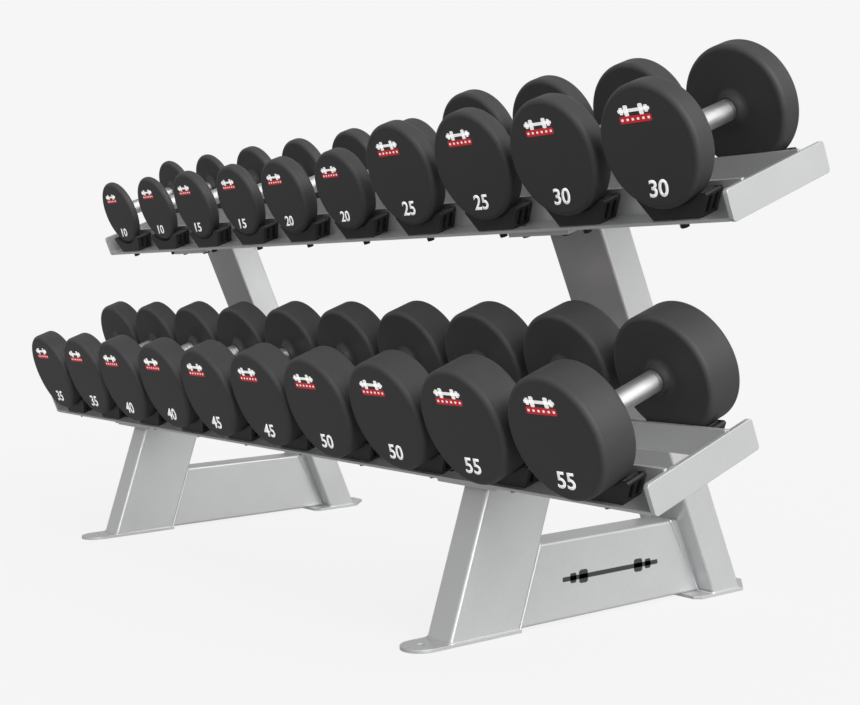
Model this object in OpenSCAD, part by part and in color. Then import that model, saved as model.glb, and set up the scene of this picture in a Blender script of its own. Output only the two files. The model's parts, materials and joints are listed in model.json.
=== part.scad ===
// Two-tier dumbbell rack: two leaning end frames carry two sloping tiers of moulded saddles,
// and every place on a tier holds one round-headed dumbbell.
//
// X runs along the rack, +Y points to its rear and +Z up. The origin is on the floor under the
// middle of the whole rack. A tier has a frame of its own, turned about X by tier_tilt, with its
// origin on the tier's lower front edge: x runs along the rack, y up the slope to the rear, and
// z square out of the slope. Angles are in degrees and every length is in millimetres.

/* [Rack] */
// Dumbbells side by side on each tier
places = 10; // [8:2:10]
// Clear gap between neighbouring large heads
head_gap = 22; // [12:1:40]
// Gap between the outermost place and the inner face of an end plate
end_gap = 1; // [1:1:40]
// Slope of both tiers, rising to the rear
tier_tilt = 19.5; // [12:0.5:24]
// Height of the lower tier's front edge above the floor
lower_tier_z = 257; // [230:1:320]
// Free height over the lower heads, square to the tiers
hand_room = 103; // [85:1:160]
// Clear way between lower and upper heads when a dumbbell is lifted out
lift_gap = 28; // [10:1:60]

/* [Dumbbells] */
// Diameter of the large heads
large_head_d = 196; // [165:1:235]
// Diameter of the small heads
small_head_d = 162; // [150:1:165]
// Clear length between the two heads
handle_gap = 154; // [145:1:190]
// Diameter of the grip
handle_d = 35; // [28:0.5:40]
// Thickness of the rubber over the steel core of a head
coat_t = 6; // [3:0.5:7]
// Radius of the rubber at the rim of a head
rim_r = 8.5; // [4:0.5:9]
// Lightest dumbbell on the upper tier
upper_first = 10; // [10:5:15]
// Lightest dumbbell on the lower tier
lower_first = 35; // [35:5:40]
// Step from one pair to the next
weight_step = 5; // [5:1:5]
// Heaviest dumbbell that has small heads
small_up_to = 20; // [15:5:30]
// Thickness of a small head at no weight
small_base_t = 2.1; // [1:0.1:4]
// Thickness of a small head for each unit of weight
small_unit_t = 1.62; // [1.5:0.01:1.7]
// Thickness of a large head at no weight
large_base_t = 6.3; // [4:0.1:8]
// Thickness of a large head for each unit of weight
large_unit_t = 1.145; // [1:0.005:1.3]
// Diameter of the moulded hub where it leaves the head
hub_root_d = 66; // [60:1:70]
// Diameter of the hub at its free end
hub_tip_d = 44; // [40:1:50]
// Length of the hub along the handle
hub_len = 13; // [8:1:16]

/* [Tiers] */
// Width of an angle rail's floor
rail_w = 50; // [46:1:65]
// Height of an angle rail's wall
rail_h = 50; // [35:1:60]
// Thickness of an angle rail
rail_t = 5; // [4:0.5:7]
// Gap between a rear head and the wall of the rear rail
wall_gap = 2; // [1:0.5:5]
// Distance from the tier's front edge to the inner face of the front heads
head_inset = 28; // [24:1:36]
// Thickness of an end plate
end_plate_t = 9; // [6:0.5:12]
// Height of an end plate
end_plate_h = 50; // [48:1:70]
// Distance that an end plate reaches below the rails
end_plate_drop = 2; // [0:0.5:6]
// Radius at the corners of an end plate
end_plate_r = 6; // [2:1:14]

/* [Saddles] */
// Width of a saddle at its foot
saddle_foot_w = 98; // [80:1:110]
// Width of a saddle across its horns
saddle_horn_w = 146; // [136:1:152]
// Height of a saddle
saddle_h = 38.6; // [36:0.1:46]
// Width of the chamfer along the outer edge of a horn
horn_chamfer_w = 2.5; // [0.5:0.5:5]
// Height of the same chamfer
horn_chamfer_h = 3.9; // [1:0.1:8]
// Depth of a saddle from front to rear
saddle_depth = 37.5; // [30:0.5:38]
// Height of the lowest point of the seat above the rail floor
seat_h = 21; // [19:0.5:24]
// Radial clearance between a large head and the seat
seat_clear = 0.6; // [0.4:0.1:2]
// Distance from the rail's free edge to the saddle
saddle_setback = 6.5; // [3:0.5:7]

/* [End frames] */
// Places from the middle of the rack to each end frame
frame_places = 3; // [2:1:3]
// Wide side of the frame tube
tube_w = 136; // [110:1:150]
// Narrow side of the frame tube
tube_n = 65; // [50:1:76]
// Wall of the frame tube
tube_wall = 3; // [2:0.5:4.5]
// Outer corner radius of the frame tube
tube_r = 5; // [5:0.5:12]
// Lean of the front leg to the rear
leg_lean = 19.5; // [12:0.5:22]
// Lean of the rear post to the front
post_lean = 21.1; // [15:0.1:22]
// Distance of the leg's top behind the middle of the lower tier
leg_shift = 7; // [0:1:10]
// Distance of the post's top behind the middle of the upper tier
post_shift = 3; // [0:1:10]
// Width of a mount plate along the rack
mount_plate_w = 155; // [145:1:160]
// Thickness of a mount plate
mount_plate_t = 9; // [6:0.5:12]
// Distance from a tier's edge to the mount plate
mount_plate_inset = 6; // [3:0.5:12]

/* [Feet] */
// Thickness of the foot plates
foot_t = 6; // [5:0.5:12]
// Ledge of a foot plate beside the tube
foot_ledge = 2.5; // [2:0.5:8]
// Diameter of the anchor holes
anchor_d = 14; // [10:0.5:18]
// Distance of the front anchor hole ahead of the leg
front_anchor = 33; // [30:1:50]
// Distance of the rear anchor hole behind the post
rear_anchor = 35.5; // [25:0.5:45]
// Reach of the rear plate ahead of the post
rear_plate_front = 42; // [25:1:60]
// Reach of the rear plate behind the post
rear_plate_back = 55; // [50:1:75]
// Width of the rear plate's end
rear_tab_w = 42; // [30:1:60]
// Corner cut at the front of the rear plate
rear_cut = 11; // [5:1:25]

/* [Fasteners] */
// Diameter of the bolts that hold the saddles
saddle_bolt_d = 8; // [6:1:10]
// Diameter of the flange under their hexagon heads
saddle_flange_d = 17; // [14:0.5:20]
// Thickness of that flange
saddle_flange_t = 1.6; // [1:0.1:2.5]
// Width across the flats of their hexagon heads
saddle_bolt_flats = 13; // [10:0.5:14]
// Height of their heads beyond the flange
saddle_head_h = 10; // [5:0.5:11]
// Depth of their thread in a saddle
saddle_thread = 12; // [8:1:15]
// Distance from the rail's free edge to a saddle bolt
saddle_bolt_inset = 20; // [18:1:30]
// Diameter of the bolts between mount plate and rail
rail_bolt_d = 10; // [8:1:12]
// Width across the flats of their hexagon heads
rail_bolt_flats = 16; // [13:1:18]
// Height of their heads
rail_bolt_head_h = 6.4; // [5:0.1:8]
// Distance of a rail bolt from the middle of the mount plate, beside the tube
rail_bolt_x = 52; // [45:1:60]
// Radial clearance of a bolt in a plain hole
bolt_clear = 0.25; // [0.1:0.05:0.5]

/* [Hidden] */
node = "all";
$fn = 96;
LOWER = 0;
UPPER = 1;
LEVELS = [LOWER, UPPER];
SIDES = [-1, 1];
FRONT = 0;
REAR = 1;
big = 4000;           // larger than the rack, for cutting planes
part_gap = 0.05;      // touching faces of separate pieces are drawn this far apart

function pair_at(i) = floor(i / 2);
function weight(level, i) = (level == UPPER ? upper_first : lower_first) + weight_step * pair_at(i);
function is_small(level, i) = weight(level, i) <= small_up_to;
function head_d(level, i) = is_small(level, i) ? small_head_d : large_head_d;
function head_t(level, i) = is_small(level, i)
    ? small_base_t + small_unit_t * weight(level, i)
    : large_base_t + large_unit_t * weight(level, i);
function thickest(level) = max([for (i = [0 : places - 1]) head_t(level, i)]);

// Along the rack
pitch = large_head_d + head_gap;
rail_len = places * pitch + 2 * end_gap;
rack_len = rail_len + 2 * end_plate_t;
frame_x = frame_places * pitch;
function place_x(i) = (i - (places - 1) / 2) * pitch;

// Within a tier, up its slope
rear_wall_y = head_inset + handle_gap - wall_gap;
tier_depth = rear_wall_y - rail_t + rail_w;
handle_y = head_inset + handle_gap / 2;
seat_z = rail_t + seat_h;
seat_r = large_head_d / 2 + seat_clear;
head_rest_gap = 0.5;
function handle_z(level, i) = seat_z + head_rest_gap + head_d(level, i) / 2;

// From one tier to the other, in a tier's own directions
tier_step_y = handle_gap + thickest(LOWER) + thickest(UPPER) + lift_gap;
tier_step_z = seat_z + head_rest_gap + large_head_d + hand_room;
tier_y = [0, tier_step_y * cos(tier_tilt) - tier_step_z * sin(tier_tilt)];
tier_z = [lower_tier_z,
          lower_tier_z + tier_step_y * sin(tier_tilt) + tier_step_z * cos(tier_tilt)];

// A point of a tier's underside, in the side view of the rack
function under_y(level, y) = tier_y[level] + y * cos(tier_tilt) + mount_plate_t * sin(tier_tilt);
function under_z(level, y) = tier_z[level] + y * sin(tier_tilt) - mount_plate_t * cos(tier_tilt);

// End frame, in the side view, before the rack is centred on the origin
leg_top_y = under_y(LOWER, tier_depth / 2 + leg_shift);
leg_top_z = under_z(LOWER, tier_depth / 2 + leg_shift);
post_top_y = under_y(UPPER, tier_depth / 2 + post_shift);
post_top_z = under_z(UPPER, tier_depth / 2 + post_shift);
leg_foot_y = leg_top_y - (leg_top_z - foot_t) * tan(leg_lean);
post_foot_y = post_top_y + (post_top_z - foot_t) * tan(post_lean);
leg_half = tube_w / 2 / cos(leg_lean);
post_half = tube_n / 2 / cos(post_lean);
front_foot_r = tube_n / 2 + foot_ledge;
rear_foot_half = tube_w / 2 + foot_ledge;
front_hole_y = leg_foot_y - leg_half - front_anchor;
rear_hole_y = post_foot_y + post_half + rear_anchor;
front_tip_y = front_hole_y - front_foot_r;
rear_tip_y = post_foot_y + post_half + rear_plate_back;
centre_y = -(front_tip_y + rear_tip_y) / 2;

function label(level) = level == UPPER ? "upper" : "lower";
function two_digits(n) = n < 10 ? str("0", n) : str(n);
function heads_name(level, i) = str(label(level), "_", two_digits(i + 1), "_heads");
function bar_name(level, i) = str(label(level), "_", two_digits(i + 1), "_bar");
function wanted(name) = node == "all" || node == name;

NODES = concat(
    ["left_front_leg", "right_front_leg", "left_rear_post", "right_rear_post",
     "left_cross_beam", "right_cross_beam", "left_foot_plates", "right_foot_plates",
     "lower_mount_plates", "upper_mount_plates", "lower_front_rail", "lower_rear_rail",
     "upper_front_rail", "upper_rear_rail", "lower_end_plates", "upper_end_plates",
     "lower_saddles", "upper_saddles", "saddle_bolts", "rail_bolts"],
    [for (level = LEVELS, i = [0 : places - 1]) heads_name(level, i)],
    [for (level = LEVELS, i = [0 : places - 1]) bar_name(level, i)]);

// ---- Placing ----

// Moves a shape from the side view of the frame to its place under the rack
module centred() {
    translate([0, centre_y, 0]) children();
}

// Puts a shape drawn in a tier's own frame on the lower or the upper tier
module on_tier(level) {
    centred() translate([0, tier_y[level], tier_z[level]]) rotate([tier_tilt, 0, 0]) children();
}

// Extrudes an outline drawn in (y, z) along X, centred on x = 0
module along_x(length) {
    rotate([90, 0, 90]) linear_extrude(length, center = true) children();
}

// Extrudes an outline drawn in (x, z) towards +Y, from y = 0
module along_y(length) {
    translate([0, length, 0]) rotate([90, 0, 0]) linear_extrude(length) children();
}

// Stands a rotationally symmetric shape's Z axis along a tier's y
module axis_to_y() {
    rotate([-90, 0, 0]) children();
}

// A bolt drawn downwards from z = 0 is set at every place, under the front and the rear rail
module at_saddle_bolts() {
    for (i = [0 : places - 1])
        for (y = [saddle_bolt_inset, tier_depth - saddle_bolt_inset])
            translate([place_x(i), y, 0]) children();
}

// The four bolts of each mount plate, beside the tube that it stands on
module at_rail_bolts() {
    for (side = SIDES, dx = SIDES)
        for (y = [rail_w / 2, tier_depth - rail_w / 2])
            translate([side * frame_x + dx * rail_bolt_x, y, 0]) children();
}

// ---- Outlines ----

// A rectangle from the origin whose corners are rounded
module rounded_rect(w, h, r) {
    translate([r, 0]) square([w - 2 * r, h]);
    translate([0, r]) square([w, h - 2 * r]);
    for (x = [r, w - r], y = [r, h - r]) translate([x, y]) circle(r);
}

// The section of the frame tube, centred on the origin
module tube_section(w, h) {
    difference() {
        translate([-w / 2, -h / 2]) rounded_rect(w, h, tube_r);
        translate([-w / 2 + tube_wall, -h / 2 + tube_wall])
            rounded_rect(w - 2 * tube_wall, h - 2 * tube_wall, tube_r - tube_wall);
    }
}

// An angle rail in (y, z): floor towards -y and a wall at y = 0 that is folded up
module rail_section() {
    translate([-rail_w, 0]) square([rail_w - rail_t, rail_t]);
    translate([-rail_t, rail_t]) square([rail_t, rail_h - rail_t]);
    intersection() {
        translate([-rail_t, 0]) square(rail_t);
        translate([-rail_t, rail_t]) circle(rail_t);
    }
}

// One half of a head in (radius, along the handle), from its inner face at 0
module head_outline(d, t) {
    r = min(rim_r, t / 2 - 0.5);
    square([d / 2 - r, t]);
    translate([0, r]) square([d / 2, t - 2 * r]);
    for (y = [r, t - r]) translate([d / 2 - r, y]) circle(r);
}

// One half of the hub, flaring from its tip to the face of the head
module hub_outline() {
    flare = (hub_root_d - hub_tip_d) / 2;
    difference() {
        translate([handle_d / 2, -hub_len]) square([(hub_root_d - handle_d) / 2, hub_len - part_gap]);
        translate([hub_root_d / 2, -flare]) circle(flare);
        translate([hub_tip_d / 2, -hub_len - flare]) square([2 * flare, hub_len]);
    }
}

// ---- End frames ----

// A leaning tube down from a tier's underside to the foot plate, in the side view
module leaning_tube(level, top_y, lean, along_rack, fore_aft) {
    top_cut_z = -mount_plate_t;
    difference() {
        translate([0, top_y, under_z(level, tier_depth / 2)])
            rotate([lean, 0, 0])
                linear_extrude(big, center = true) tube_section(along_rack, fore_aft);
        translate([-big / 2, -big / 2, foot_t - big]) cube(big);
        translate([0, tier_y[level], tier_z[level]]) rotate([tier_tilt, 0, 0])
            translate([-big / 2, -big / 2, top_cut_z]) cube(big);
    }
}

// The point of a leaning axis at the height where leaning_tube() holds it
function at_height(y, z, z_wanted, lean) = y - (z_wanted - z) * tan(lean);

module front_leg(side) {
    y = at_height(leg_top_y, leg_top_z, under_z(LOWER, tier_depth / 2), -leg_lean);
    color("silver") centred() translate([side * frame_x, 0, 0])
        leaning_tube(LOWER, y, -leg_lean, tube_n, tube_w);
}

module rear_post(side) {
    y = at_height(post_top_y, post_top_z, under_z(UPPER, tier_depth / 2), post_lean);
    color("silver") centred() translate([side * frame_x, 0, 0])
        leaning_tube(UPPER, y, post_lean, tube_w, tube_n);
}

// The beam on the foot plates, cut to the slant of the leg and of the post
module cross_beam(side) {
    start_y = leg_foot_y + leg_half;
    end_y = post_foot_y - post_half;
    spare = tube_w;
    color("silver") centred() translate([side * frame_x, 0, 0])
        difference() {
            translate([0, start_y - spare, foot_t + tube_w / 2])
                along_y(end_y - start_y + 2 * spare) tube_section(tube_n, tube_w);
            translate([0, start_y + part_gap, foot_t]) rotate([-leg_lean, 0, 0])
                translate([-big / 2, -big, -big / 2]) cube(big);
            translate([0, end_y - part_gap, foot_t]) rotate([post_lean, 0, 0])
                translate([-big / 2, 0, -big / 2]) cube(big);
        }
}

// The front plate has a round nose about its anchor hole, the rear plate a tapered tab
module foot_plates(side) {
    leg_back_y = leg_foot_y + leg_half + foot_ledge;
    plate_front_y = post_foot_y - post_half - rear_plate_front;
    taper = rear_foot_half - rear_tab_w / 2;
    color("silver") centred() translate([side * frame_x, 0, 0]) {
        difference() {
            union() {
                translate([0, front_hole_y, 0]) cylinder(h = foot_t, r = front_foot_r);
                translate([-front_foot_r, front_hole_y, 0])
                    cube([2 * front_foot_r, leg_back_y - front_hole_y, foot_t]);
            }
            translate([0, front_hole_y, -1]) cylinder(h = foot_t + 2, d = anchor_d);
        }
        difference() {
            linear_extrude(foot_t) polygon([
                [-rear_foot_half + rear_cut, plate_front_y],
                [rear_foot_half - rear_cut, plate_front_y],
                [rear_foot_half, plate_front_y + rear_cut],
                [rear_foot_half, rear_tip_y - taper],
                [rear_tab_w / 2, rear_tip_y],
                [-rear_tab_w / 2, rear_tip_y],
                [-rear_foot_half, rear_tip_y - taper],
                [-rear_foot_half, plate_front_y + rear_cut]]);
            translate([0, rear_hole_y, -1]) cylinder(h = foot_t + 2, d = anchor_d);
        }
    }
}

// Flat plates on top of the legs or of the posts, under both rails
module mount_plates(level) {
    depth = tier_depth - 2 * mount_plate_inset;
    color("silver") on_tier(level) difference() {
        for (side = SIDES)
            translate([side * frame_x - mount_plate_w / 2, mount_plate_inset, -mount_plate_t])
                cube([mount_plate_w, depth, mount_plate_t]);
        at_rail_bolts()
            translate([0, 0, -mount_plate_t - 1])
                cylinder(h = mount_plate_t + 2, r = rail_bolt_d / 2 + bolt_clear);
    }
}

// ---- Tiers ----

// An angle rail; the rear one is the front one turned end for end
module rail(level, row) {
    color("silver") on_tier(level) difference() {
        if (row == FRONT)
            translate([0, rail_w, 0]) along_x(rail_len) rail_section();
        else
            translate([0, tier_depth - rail_w, 0]) mirror([0, 1, 0]) along_x(rail_len) rail_section();
        at_saddle_bolts()
            translate([0, 0, -1]) cylinder(h = rail_t + 2, r = saddle_bolt_d / 2 + bolt_clear);
        at_rail_bolts()
            translate([0, 0, -1]) cylinder(h = rail_t + 2, r = rail_bolt_d / 2);
    }
}

module end_plates(level) {
    color("silver") on_tier(level)
        for (side = SIDES)
            translate([side * (rail_len + end_plate_t) / 2, 0, -end_plate_drop])
                along_x(end_plate_t) rounded_rect(tier_depth, end_plate_h, end_plate_r);
}

// ---- Saddles ----

// The front view of a saddle in (x, z): a foot that flares to two horns around a round seat
module saddle_outline() {
    flank_h = saddle_h - horn_chamfer_h;
    top_half = saddle_horn_w / 2 - horn_chamfer_w;
    difference() {
        polygon([[-saddle_foot_w / 2, 0], [saddle_foot_w / 2, 0],
                 [saddle_horn_w / 2, flank_h], [top_half, saddle_h],
                 [-top_half, saddle_h], [-saddle_horn_w / 2, flank_h]]);
        translate([0, seat_h + seat_r]) circle(seat_r);
    }
}

// One moulded cradle with its front face at y = 0 and its foot on z = 0
module saddle() {
    difference() {
        along_y(saddle_depth) saddle_outline();
        translate([0, saddle_bolt_inset - saddle_setback, -1])
            cylinder(h = saddle_thread + 1, d = saddle_bolt_d);
    }
}

// The saddles of a tier: the rear ones are the front ones seen in a mirror
module saddles(level) {
    color("#2b2b2d") on_tier(level)
        for (i = [0 : places - 1]) translate([place_x(i), 0, rail_t]) {
            translate([0, saddle_setback, 0]) saddle();
            translate([0, tier_depth - saddle_setback, 0]) mirror([0, 1, 0]) saddle();
        }
}

// ---- Fasteners ----

// The head of a bolt, hanging down from z = 0
module hexagon_head(h, flats) {
    translate([0, 0, -h]) cylinder(h = h, d = flats / cos(30), $fn = 6);
}

module saddle_bolts() {
    color("#1c1c1e")
        for (level = LEVELS) on_tier(level) at_saddle_bolts() {
            hexagon_head(saddle_flange_t + saddle_head_h, saddle_bolt_flats);
            translate([0, 0, -saddle_flange_t]) cylinder(h = saddle_flange_t, d = saddle_flange_d);
            cylinder(h = rail_t + saddle_thread, d = saddle_bolt_d);
        }
}

module rail_bolts() {
    color("#1c1c1e")
        for (level = LEVELS) on_tier(level) at_rail_bolts()
            translate([0, 0, -mount_plate_t]) {
                hexagon_head(rail_bolt_head_h, rail_bolt_flats);
                cylinder(h = mount_plate_t + rail_t, d = rail_bolt_d);
            }
}

// ---- Dumbbells ----

// Puts a dumbbell, drawn about the middle of its handle with its axis on z, in its saddles
module in_place(level, i) {
    on_tier(level) translate([place_x(i), handle_y, handle_z(level, i)]) axis_to_y() children();
}

// Repeats one end of a dumbbell, drawn outwards from the head's inner face, at both ends
module both_ends() {
    translate([0, 0, handle_gap / 2]) children();
    mirror([0, 0, 1]) translate([0, 0, handle_gap / 2]) children();
}

// The rubber coat of each head, closed around its steel core, and the hub ring beside it
module dumbbell_heads(level, i) {
    d = head_d(level, i);
    t = head_t(level, i);
    color("#3a3a3c") in_place(level, i) both_ends() {
        rotate_extrude() difference() {
            head_outline(d, t);
            translate([-1, coat_t]) square([d / 2 - coat_t + 1, t - 2 * coat_t]);
            translate([-1, -1]) square([handle_d / 2 + 1, coat_t + 1]);
        }
        rotate_extrude() hub_outline();
    }
}

// The grip and, at each end, the steel core that it is pressed into
module dumbbell_bar(level, i) {
    core_d = head_d(level, i) - 2 * coat_t;
    core_t = head_t(level, i) - 2 * coat_t;
    color("#c9cacc") in_place(level, i) {
        cylinder(h = handle_gap + 2 * coat_t, d = handle_d, center = true);
        both_ends() translate([0, 0, coat_t]) cylinder(h = core_t, d = core_d);
    }
}

if (wanted("left_front_leg")) front_leg(-1);
if (wanted("right_front_leg")) front_leg(1);
if (wanted("left_rear_post")) rear_post(-1);
if (wanted("right_rear_post")) rear_post(1);
if (wanted("left_cross_beam")) cross_beam(-1);
if (wanted("right_cross_beam")) cross_beam(1);
if (wanted("left_foot_plates")) foot_plates(-1);
if (wanted("right_foot_plates")) foot_plates(1);
if (wanted("lower_mount_plates")) mount_plates(LOWER);
if (wanted("upper_mount_plates")) mount_plates(UPPER);
if (wanted("lower_front_rail")) rail(LOWER, FRONT);
if (wanted("lower_rear_rail")) rail(LOWER, REAR);
if (wanted("upper_front_rail")) rail(UPPER, FRONT);
if (wanted("upper_rear_rail")) rail(UPPER, REAR);
if (wanted("lower_end_plates")) end_plates(LOWER);
if (wanted("upper_end_plates")) end_plates(UPPER);
if (wanted("lower_saddles")) saddles(LOWER);
if (wanted("upper_saddles")) saddles(UPPER);
if (wanted("saddle_bolts")) saddle_bolts();
if (wanted("rail_bolts")) rail_bolts();
for (level = LEVELS, i = [0 : places - 1]) {
    if (wanted(heads_name(level, i))) dumbbell_heads(level, i);
    if (wanted(bar_name(level, i))) dumbbell_bar(level, i);
}
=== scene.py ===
"""A loaded two-tier dumbbell rack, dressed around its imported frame.

Everything is in metres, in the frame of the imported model: X runs along the rack, +Y to its
rear and +Z up. A tier has directions of its own: x along the rack, u up its slope to the rear
and n square out of the slope, from the tier's lower front edge.
"""

import json
import logging
import math
from collections.abc import Callable, Iterator
from contextlib import contextmanager
from dataclasses import dataclass, field
from enum import Enum

import bmesh
import bpy
from mathutils import Matrix, Vector


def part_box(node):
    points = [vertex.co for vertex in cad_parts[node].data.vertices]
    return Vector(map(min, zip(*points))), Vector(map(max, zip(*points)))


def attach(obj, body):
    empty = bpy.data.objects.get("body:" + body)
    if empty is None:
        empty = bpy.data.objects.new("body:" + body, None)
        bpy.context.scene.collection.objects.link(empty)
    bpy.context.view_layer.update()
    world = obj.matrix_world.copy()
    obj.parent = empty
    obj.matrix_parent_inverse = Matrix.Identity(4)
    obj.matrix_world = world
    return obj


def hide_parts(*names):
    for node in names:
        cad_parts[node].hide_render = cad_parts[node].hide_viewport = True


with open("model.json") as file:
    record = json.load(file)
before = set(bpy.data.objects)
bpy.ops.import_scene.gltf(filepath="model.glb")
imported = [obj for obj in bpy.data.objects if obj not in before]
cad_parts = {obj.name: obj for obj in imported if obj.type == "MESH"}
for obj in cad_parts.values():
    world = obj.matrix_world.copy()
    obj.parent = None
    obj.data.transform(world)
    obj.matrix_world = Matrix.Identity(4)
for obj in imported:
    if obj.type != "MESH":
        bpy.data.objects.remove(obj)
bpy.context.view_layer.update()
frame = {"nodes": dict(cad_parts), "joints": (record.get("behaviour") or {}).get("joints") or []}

MM = 0.001
EPS = 1e-5
RACK = "rack"
log = logging.getLogger("dumbbell_rack")


class Level(Enum):
    """The two tiers of the rack."""

    LOWER = "lower"
    UPPER = "upper"


class Side(Enum):
    """The two ends of the rack, as directions along X."""

    LEFT = -1
    RIGHT = 1

    def node(self, part: str) -> str:
        """Returns the name of one of the side's nodes."""
        return f"{self.name.lower()}_{part}"


class Slot(Enum):
    """The record's material slots."""

    FRAME = "frame_paint"
    SADDLE = "saddle_plastic"
    HEAD = "urethane"
    BAR = "bar_steel"
    BOLT = "black_steel"


# ---- The bench: Blender's own tools, used on one piece at a time ----


class Bench:
    """Modelling steps that every sub-assembly shares."""

    @staticmethod
    def clear() -> None:
        """Leaves edit mode and deselects everything."""
        if bpy.context.mode != "OBJECT":
            bpy.ops.object.mode_set(mode="OBJECT")
        bpy.ops.object.select_all(action="DESELECT")

    @staticmethod
    def take(piece: bpy.types.Object) -> None:
        """Selects one piece alone and makes it active."""
        Bench.clear()
        piece.select_set(True)
        bpy.context.view_layer.objects.active = piece

    @staticmethod
    def settle(name: str) -> bpy.types.Object:
        """Names the new active piece and applies its place to its mesh.

        Args:
            name: The piece's name.

        Returns:
            The piece, at the origin, unturned and unscaled.
        """
        bpy.ops.object.transform_apply(location=True, rotation=True, scale=True)
        piece = bpy.context.object
        piece.name = name
        piece.data.name = name
        return piece

    @staticmethod
    def block(name: str, size: tuple, centre: tuple) -> bpy.types.Object:
        """Adds a block of a size about a centre.

        Args:
            name: The piece's name.
            size: Its extent along X, Y and Z.
            centre: Its middle.

        Returns:
            The block.
        """
        Bench.clear()
        bpy.ops.mesh.primitive_cube_add(size=1.0, location=centre)
        bpy.context.object.scale = size
        return Bench.settle(name)

    @staticmethod
    def rod(name: str, radius: float, length: float, sides: int) -> bpy.types.Object:
        """Adds a rod that stands on z = 0 about the Z axis.

        Args:
            name: The piece's name.
            radius: Its radius.
            length: Its length.
            sides: The number of its side faces.

        Returns:
            The rod.
        """
        Bench.clear()
        bpy.ops.mesh.primitive_cylinder_add(
            vertices=sides, radius=radius, depth=length, location=(0, 0, length / 2)
        )
        return Bench.settle(name)

    @staticmethod
    @contextmanager
    def editing(piece: bpy.types.Object) -> Iterator[None]:
        """Opens a piece in edit mode with nothing selected, and closes it at the end."""
        Bench.take(piece)
        bpy.ops.object.mode_set(mode="EDIT")
        bpy.ops.mesh.select_all(action="DESELECT")
        yield
        bpy.ops.object.mode_set(mode="OBJECT")

    @staticmethod
    def pick_faces(piece: bpy.types.Object, test: Callable[[Vector, Vector], bool]) -> None:
        """Selects the faces of a piece in edit mode for which a test holds.

        Args:
            piece: The piece that is being edited.
            test: Takes a face's middle and its normal.
        """
        bpy.context.tool_settings.mesh_select_mode = (False, False, True)
        bpy.ops.mesh.select_all(action="DESELECT")
        shape = bmesh.from_edit_mesh(piece.data)
        shape.normal_update()
        for face in shape.faces:
            if test(face.calc_center_median(), face.normal):
                face.select_set(True)
        bmesh.update_edit_mesh(piece.data)

    @staticmethod
    def pick_edges(piece: bpy.types.Object, test: Callable[[Vector, Vector], bool]) -> None:
        """Selects the edges of a piece in edit mode for which a test holds.

        Args:
            piece: The piece that is being edited.
            test: Takes the edge's two ends.
        """
        bpy.context.tool_settings.mesh_select_mode = (False, True, False)
        bpy.ops.mesh.select_all(action="DESELECT")
        shape = bmesh.from_edit_mesh(piece.data)
        for edge in shape.edges:
            if test(edge.verts[0].co, edge.verts[1].co):
                edge.select_set(True)
        bmesh.update_edit_mesh(piece.data)

    @staticmethod
    def extrude(step: tuple, scale: float = 1.0, pivot: tuple = (0, 0, 0)) -> None:
        """Extrudes the selected faces, then scales them square to Z about a pivot."""
        bpy.ops.mesh.extrude_region_move(TRANSFORM_OT_translate={"value": step})
        if scale != 1.0:
            bpy.ops.transform.resize(value=(scale, scale, 1.0), center_override=pivot)

    @staticmethod
    def modify(piece: bpy.types.Object, kind: str, **settings: object) -> None:
        """Adds a modifier with its settings and applies it."""
        Bench.take(piece)
        modifier = piece.modifiers.new(kind.title(), kind)
        for key, value in settings.items():
            setattr(modifier, key, value)
        bpy.ops.object.modifier_apply(modifier=modifier.name)

    @staticmethod
    def cut(piece: bpy.types.Object, cutter: bpy.types.Object) -> None:
        """Takes a cutter's space out of a piece and throws the cutter away."""
        Bench.modify(piece, "BOOLEAN", object=cutter, operation="DIFFERENCE", solver="EXACT")
        bpy.data.objects.remove(cutter)

    @staticmethod
    def join(name: str, pieces: list[bpy.types.Object]) -> bpy.types.Object:
        """Joins pieces into one.

        Args:
            name: The name of the joined piece.
            pieces: The pieces, which are used up.

        Returns:
            The joined piece.
        """
        Bench.take(pieces[0])
        for piece in pieces:
            piece.select_set(True)
        if len(pieces) > 1:
            bpy.ops.object.join()
        joined = bpy.context.object
        joined.name = name
        joined.data.name = name
        return joined

    @staticmethod
    def copy(piece: bpy.types.Object, name: str, place: Matrix) -> bpy.types.Object:
        """Copies a piece, with a mesh of its own, to a place.

        Args:
            piece: The piece to copy.
            name: The copy's name.
            place: Where the copy goes, from the piece's own frame.

        Returns:
            The copy, at the origin, with its place in its mesh.
        """
        twin = bpy.data.objects.new(name, piece.data.copy())
        twin.data.name = name
        twin.data.transform(place)
        bpy.context.scene.collection.objects.link(twin)
        return twin

    @staticmethod
    def soften(piece: bpy.types.Object, width: float, steps: int = 2, corner: float = 40.0) -> None:
        """Rounds the sharp edges of a piece and keeps its flat faces flat in shading.

        Args:
            piece: The piece.
            width: The width of the rounding.
            steps: The number of faces across it.
            corner: Edges sharper than this many degrees are rounded.
        """
        Bench.modify(
            piece, "BEVEL", width=width, segments=steps, limit_method="ANGLE",
            angle_limit=math.radians(corner), miter_outer="MITER_ARC",
        )
        Bench.smooth(piece)

    @staticmethod
    def smooth(piece: bpy.types.Object) -> None:
        """Shades round faces smooth and flat faces flat."""
        Bench.take(piece)
        bpy.ops.object.shade_smooth_by_angle(angle=math.radians(40))
        Bench.modify(piece, "WEIGHTED_NORMAL", keep_sharp=True)

    @staticmethod
    def paint(piece: bpy.types.Object, *materials: bpy.types.Material) -> None:
        """Gives a piece its materials, in the order of its slots."""
        piece.data.materials.clear()
        for material in materials:
            piece.data.materials.append(material)

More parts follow.
